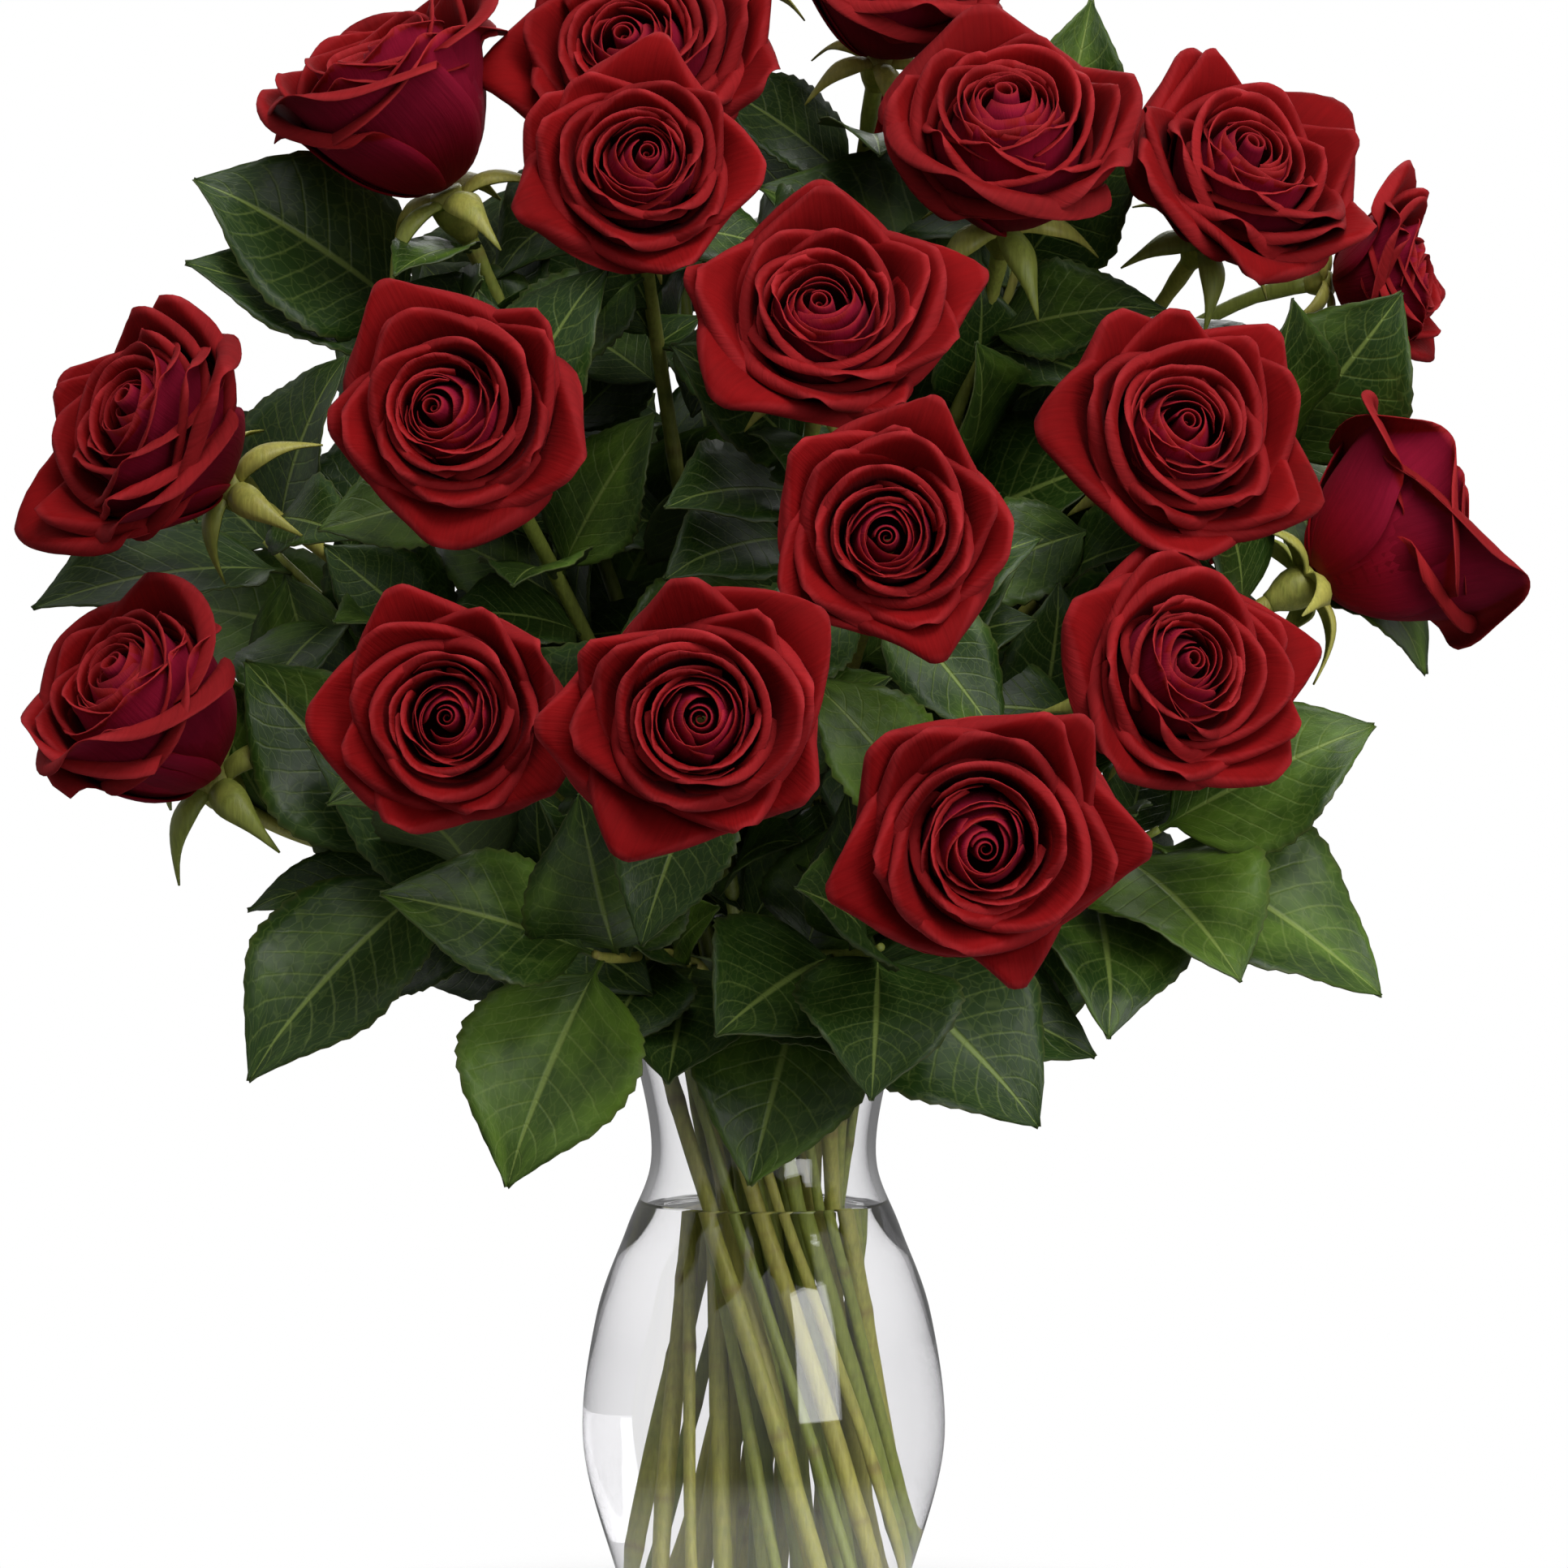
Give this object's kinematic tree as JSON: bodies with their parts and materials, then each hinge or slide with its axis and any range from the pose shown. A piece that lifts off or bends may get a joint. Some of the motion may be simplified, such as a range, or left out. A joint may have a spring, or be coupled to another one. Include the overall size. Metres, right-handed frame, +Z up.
{
  "type": "roses in a vase",
  "caption": "Bouquet of long-stemmed red roses with broad-leaved greenery, standing in a clear glass vase of water with a narrow neck and a flared rim.",
  "frame": {"origin": "the middle of the vase's flat foot, on the surface that it stands on", "axes": "+Z is up along the vase's axis, -Y is towards the viewer, the bouquet's full side, and +X is to the viewer's right"},
  "size_m": [0.4993, 0.4458, 0.6423],
  "materials": {
    "clear_glass": "gloss",
    "clear_water": "gloss",
    "red_petal": "satin",
    "green_stem": "satin",
    "green_leaf": "satin"
  },
  "bodies": {
    "root": {"vase": "clear_glass", "water": "clear_water", "bloom_01": "red_petal", "stem_01": "green_stem", "bloom_02": "red_petal", "stem_02": "green_stem", "bloom_03": "red_petal", "stem_03": "green_stem", "bloom_04": "red_petal", "stem_04": "green_stem", "bloom_05": "red_petal", "stem_05": "green_stem", "bloom_06": "red_petal", "stem_06": "green_stem", "bloom_07": "red_petal", "stem_07": "green_stem", "bloom_08": "red_petal", "stem_08": "green_stem", "bloom_09": "red_petal", "stem_09": "green_stem", "bloom_10": "red_petal", "stem_10": "green_stem", "bloom_11": "red_petal", "stem_11": "green_stem", "bloom_12": "red_petal", "stem_12": "green_stem", "bloom_13": "red_petal", "stem_13": "green_stem", "bloom_14": "red_petal", "stem_14": "green_stem", "bloom_15": "red_petal", "stem_15": "green_stem", "bloom_16": "red_petal", "stem_16": "green_stem", "bloom_17": "red_petal", "stem_17": "green_stem", "bloom_18": "red_petal", "stem_18": "green_stem", "bloom_19": "red_petal", "stem_19": "green_stem", "bloom_20": "red_petal", "stem_20": "green_stem", "bloom_21": "red_petal", "stem_21": "green_stem", "bloom_22": "red_petal", "stem_22": "green_stem", "bloom_23": "red_petal", "stem_23": "green_stem", "bloom_24": "red_petal", "stem_24": "green_stem", "greenery_front_left": "green_leaf", "greenery_low_left": "green_leaf", "greenery_left": "green_leaf", "greenery_high_left": "green_leaf", "greenery_high_right": "green_leaf", "greenery_right": "green_leaf", "greenery_low_right": "green_leaf", "greenery_front_right": "green_leaf", "greenery_back_left": "green_leaf", "greenery_back_right": "green_leaf"}
  },
  "joints": []
}
